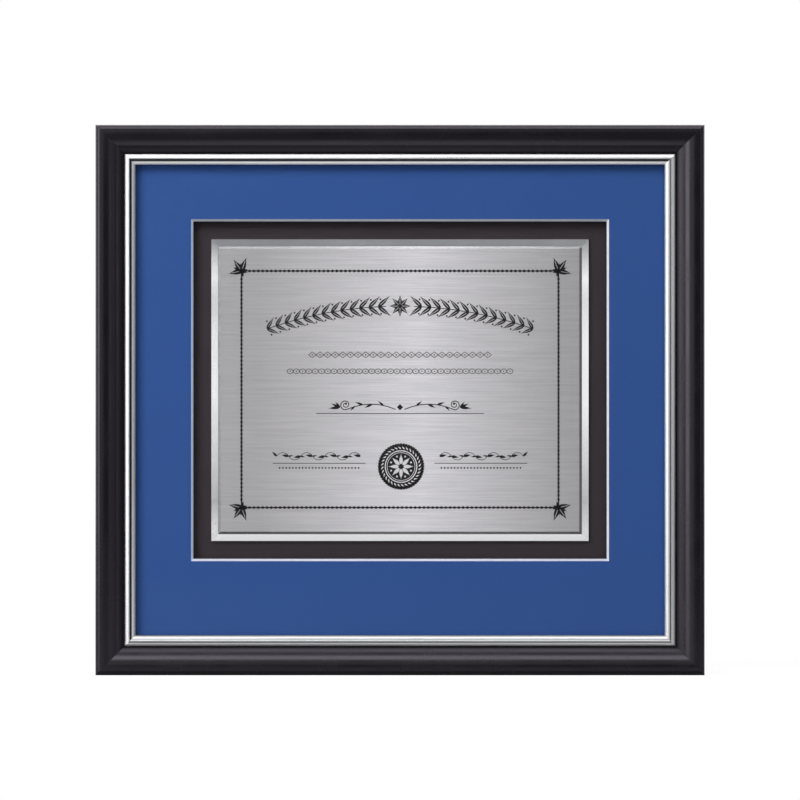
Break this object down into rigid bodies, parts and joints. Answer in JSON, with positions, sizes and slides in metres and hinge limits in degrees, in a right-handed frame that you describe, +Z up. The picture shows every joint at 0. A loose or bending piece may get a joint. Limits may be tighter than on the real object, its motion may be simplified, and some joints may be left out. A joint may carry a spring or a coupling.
{
  "type": "certificate frame",
  "caption": "Black wall frame with a silver inner slip, glazing and a blue window mat around a brushed metal certificate plate on a polished bevelled border plate.",
  "frame": {"origin": "middle of the bottom edge, half-way between the front of the rails and the wall bumpers", "axes": "+Z up, +X to the right seen from the front, the front faces -Y"},
  "size_m": [0.4064, 0.0284, 0.3673],
  "materials": {
    "black_lacquer": "black satin lacquer",
    "silver_leaf": "silver leaf over wood",
    "foam": "foam board",
    "nail_steel": "bare",
    "glazing": "clear",
    "blue_mat": "blue paper, white core",
    "black_board": "black paper",
    "hardboard": "smooth hardboard",
    "tape": "double-sided tape",
    "polished_plate": "polished",
    "brushed_plate": "brushed along the width",
    "button_steel": "zinc plated",
    "screw_steel": "yellow zinc plated",
    "hanger_steel": "zinc plated",
    "ring_steel": "nickel plated",
    "rubber": "matte"
  },
  "bodies": {
    "frame": {"top_rail": "black_lacquer", "top_slip": "silver_leaf", "top_spacer": "foam", "bottom_rail": "black_lacquer", "bottom_slip": "silver_leaf", "bottom_spacer": "foam", "left_rail": "black_lacquer", "left_slip": "silver_leaf", "left_spacer": "foam", "right_rail": "black_lacquer", "right_slip": "silver_leaf", "right_spacer": "foam", "v_nails": "nail_steel", "glazing": "glazing", "window_mat": "blue_mat", "mount_board": "black_board", "backing_board": "hardboard", "border_plate_tape": "tape", "border_plate": "polished_plate", "engraved_plate_tape": "tape", "engraved_plate": "brushed_plate", "turn_button_screws": "screw_steel", "hanger_screws": "screw_steel", "left_hanger_strap": "hanger_steel", "right_hanger_strap": "hanger_steel", "wall_bumpers": "rubber"},
    "top_left_turn_button": {"top_left_turn_button": "button_steel"},
    "top_right_turn_button": {"top_right_turn_button": "button_steel"},
    "bottom_left_turn_button": {"bottom_left_turn_button": "button_steel"},
    "bottom_right_turn_button": {"bottom_right_turn_button": "button_steel"},
    "left_turn_button": {"left_turn_button": "button_steel"},
    "right_turn_button": {"right_turn_button": "button_steel"},
    "left_d_ring": {"left_d_ring": "ring_steel"},
    "right_d_ring": {"right_d_ring": "ring_steel"}
  },
  "joints": [
    {"name": "top_left_turn_button_turn", "type": "hinge", "parent": "frame", "child": "top_left_turn_button", "pos_m": [-0.105, 0.00975, 0.3609], "axis": [0, 1, 0], "range_deg": [-90, 90]},
    {"name": "top_right_turn_button_turn", "type": "hinge", "parent": "frame", "child": "top_right_turn_button", "pos_m": [0.105, 0.00975, 0.3609], "axis": [0, 1, 0], "range_deg": [-90, 90]},
    {"name": "bottom_left_turn_button_turn", "type": "hinge", "parent": "frame", "child": "bottom_left_turn_button", "pos_m": [-0.105, 0.00975, 0.0064], "axis": [0, 1, 0], "range_deg": [-90, 90]},
    {"name": "bottom_right_turn_button_turn", "type": "hinge", "parent": "frame", "child": "bottom_right_turn_button", "pos_m": [0.105, 0.00975, 0.0064], "axis": [0, 1, 0], "range_deg": [-90, 90]},
    {"name": "left_turn_button_turn", "type": "hinge", "parent": "frame", "child": "left_turn_button", "pos_m": [-0.1968, 0.00975, 0.18365], "axis": [0, 1, 0], "range_deg": [-90, 90]},
    {"name": "right_turn_button_turn", "type": "hinge", "parent": "frame", "child": "right_turn_button", "pos_m": [0.1968, 0.00975, 0.18365], "axis": [0, 1, 0], "range_deg": [-90, 90]},
    {"name": "left_d_ring_swing", "type": "hinge", "parent": "frame", "child": "left_d_ring", "pos_m": [-0.1968, 0.01155, 0.2623], "axis": [-1, 0, 0], "range_deg": [0, 172]},
    {"name": "right_d_ring_swing", "type": "hinge", "parent": "frame", "child": "right_d_ring", "pos_m": [0.1968, 0.01155, 0.2623], "axis": [-1, 0, 0], "range_deg": [0, 172]}
  ]
}
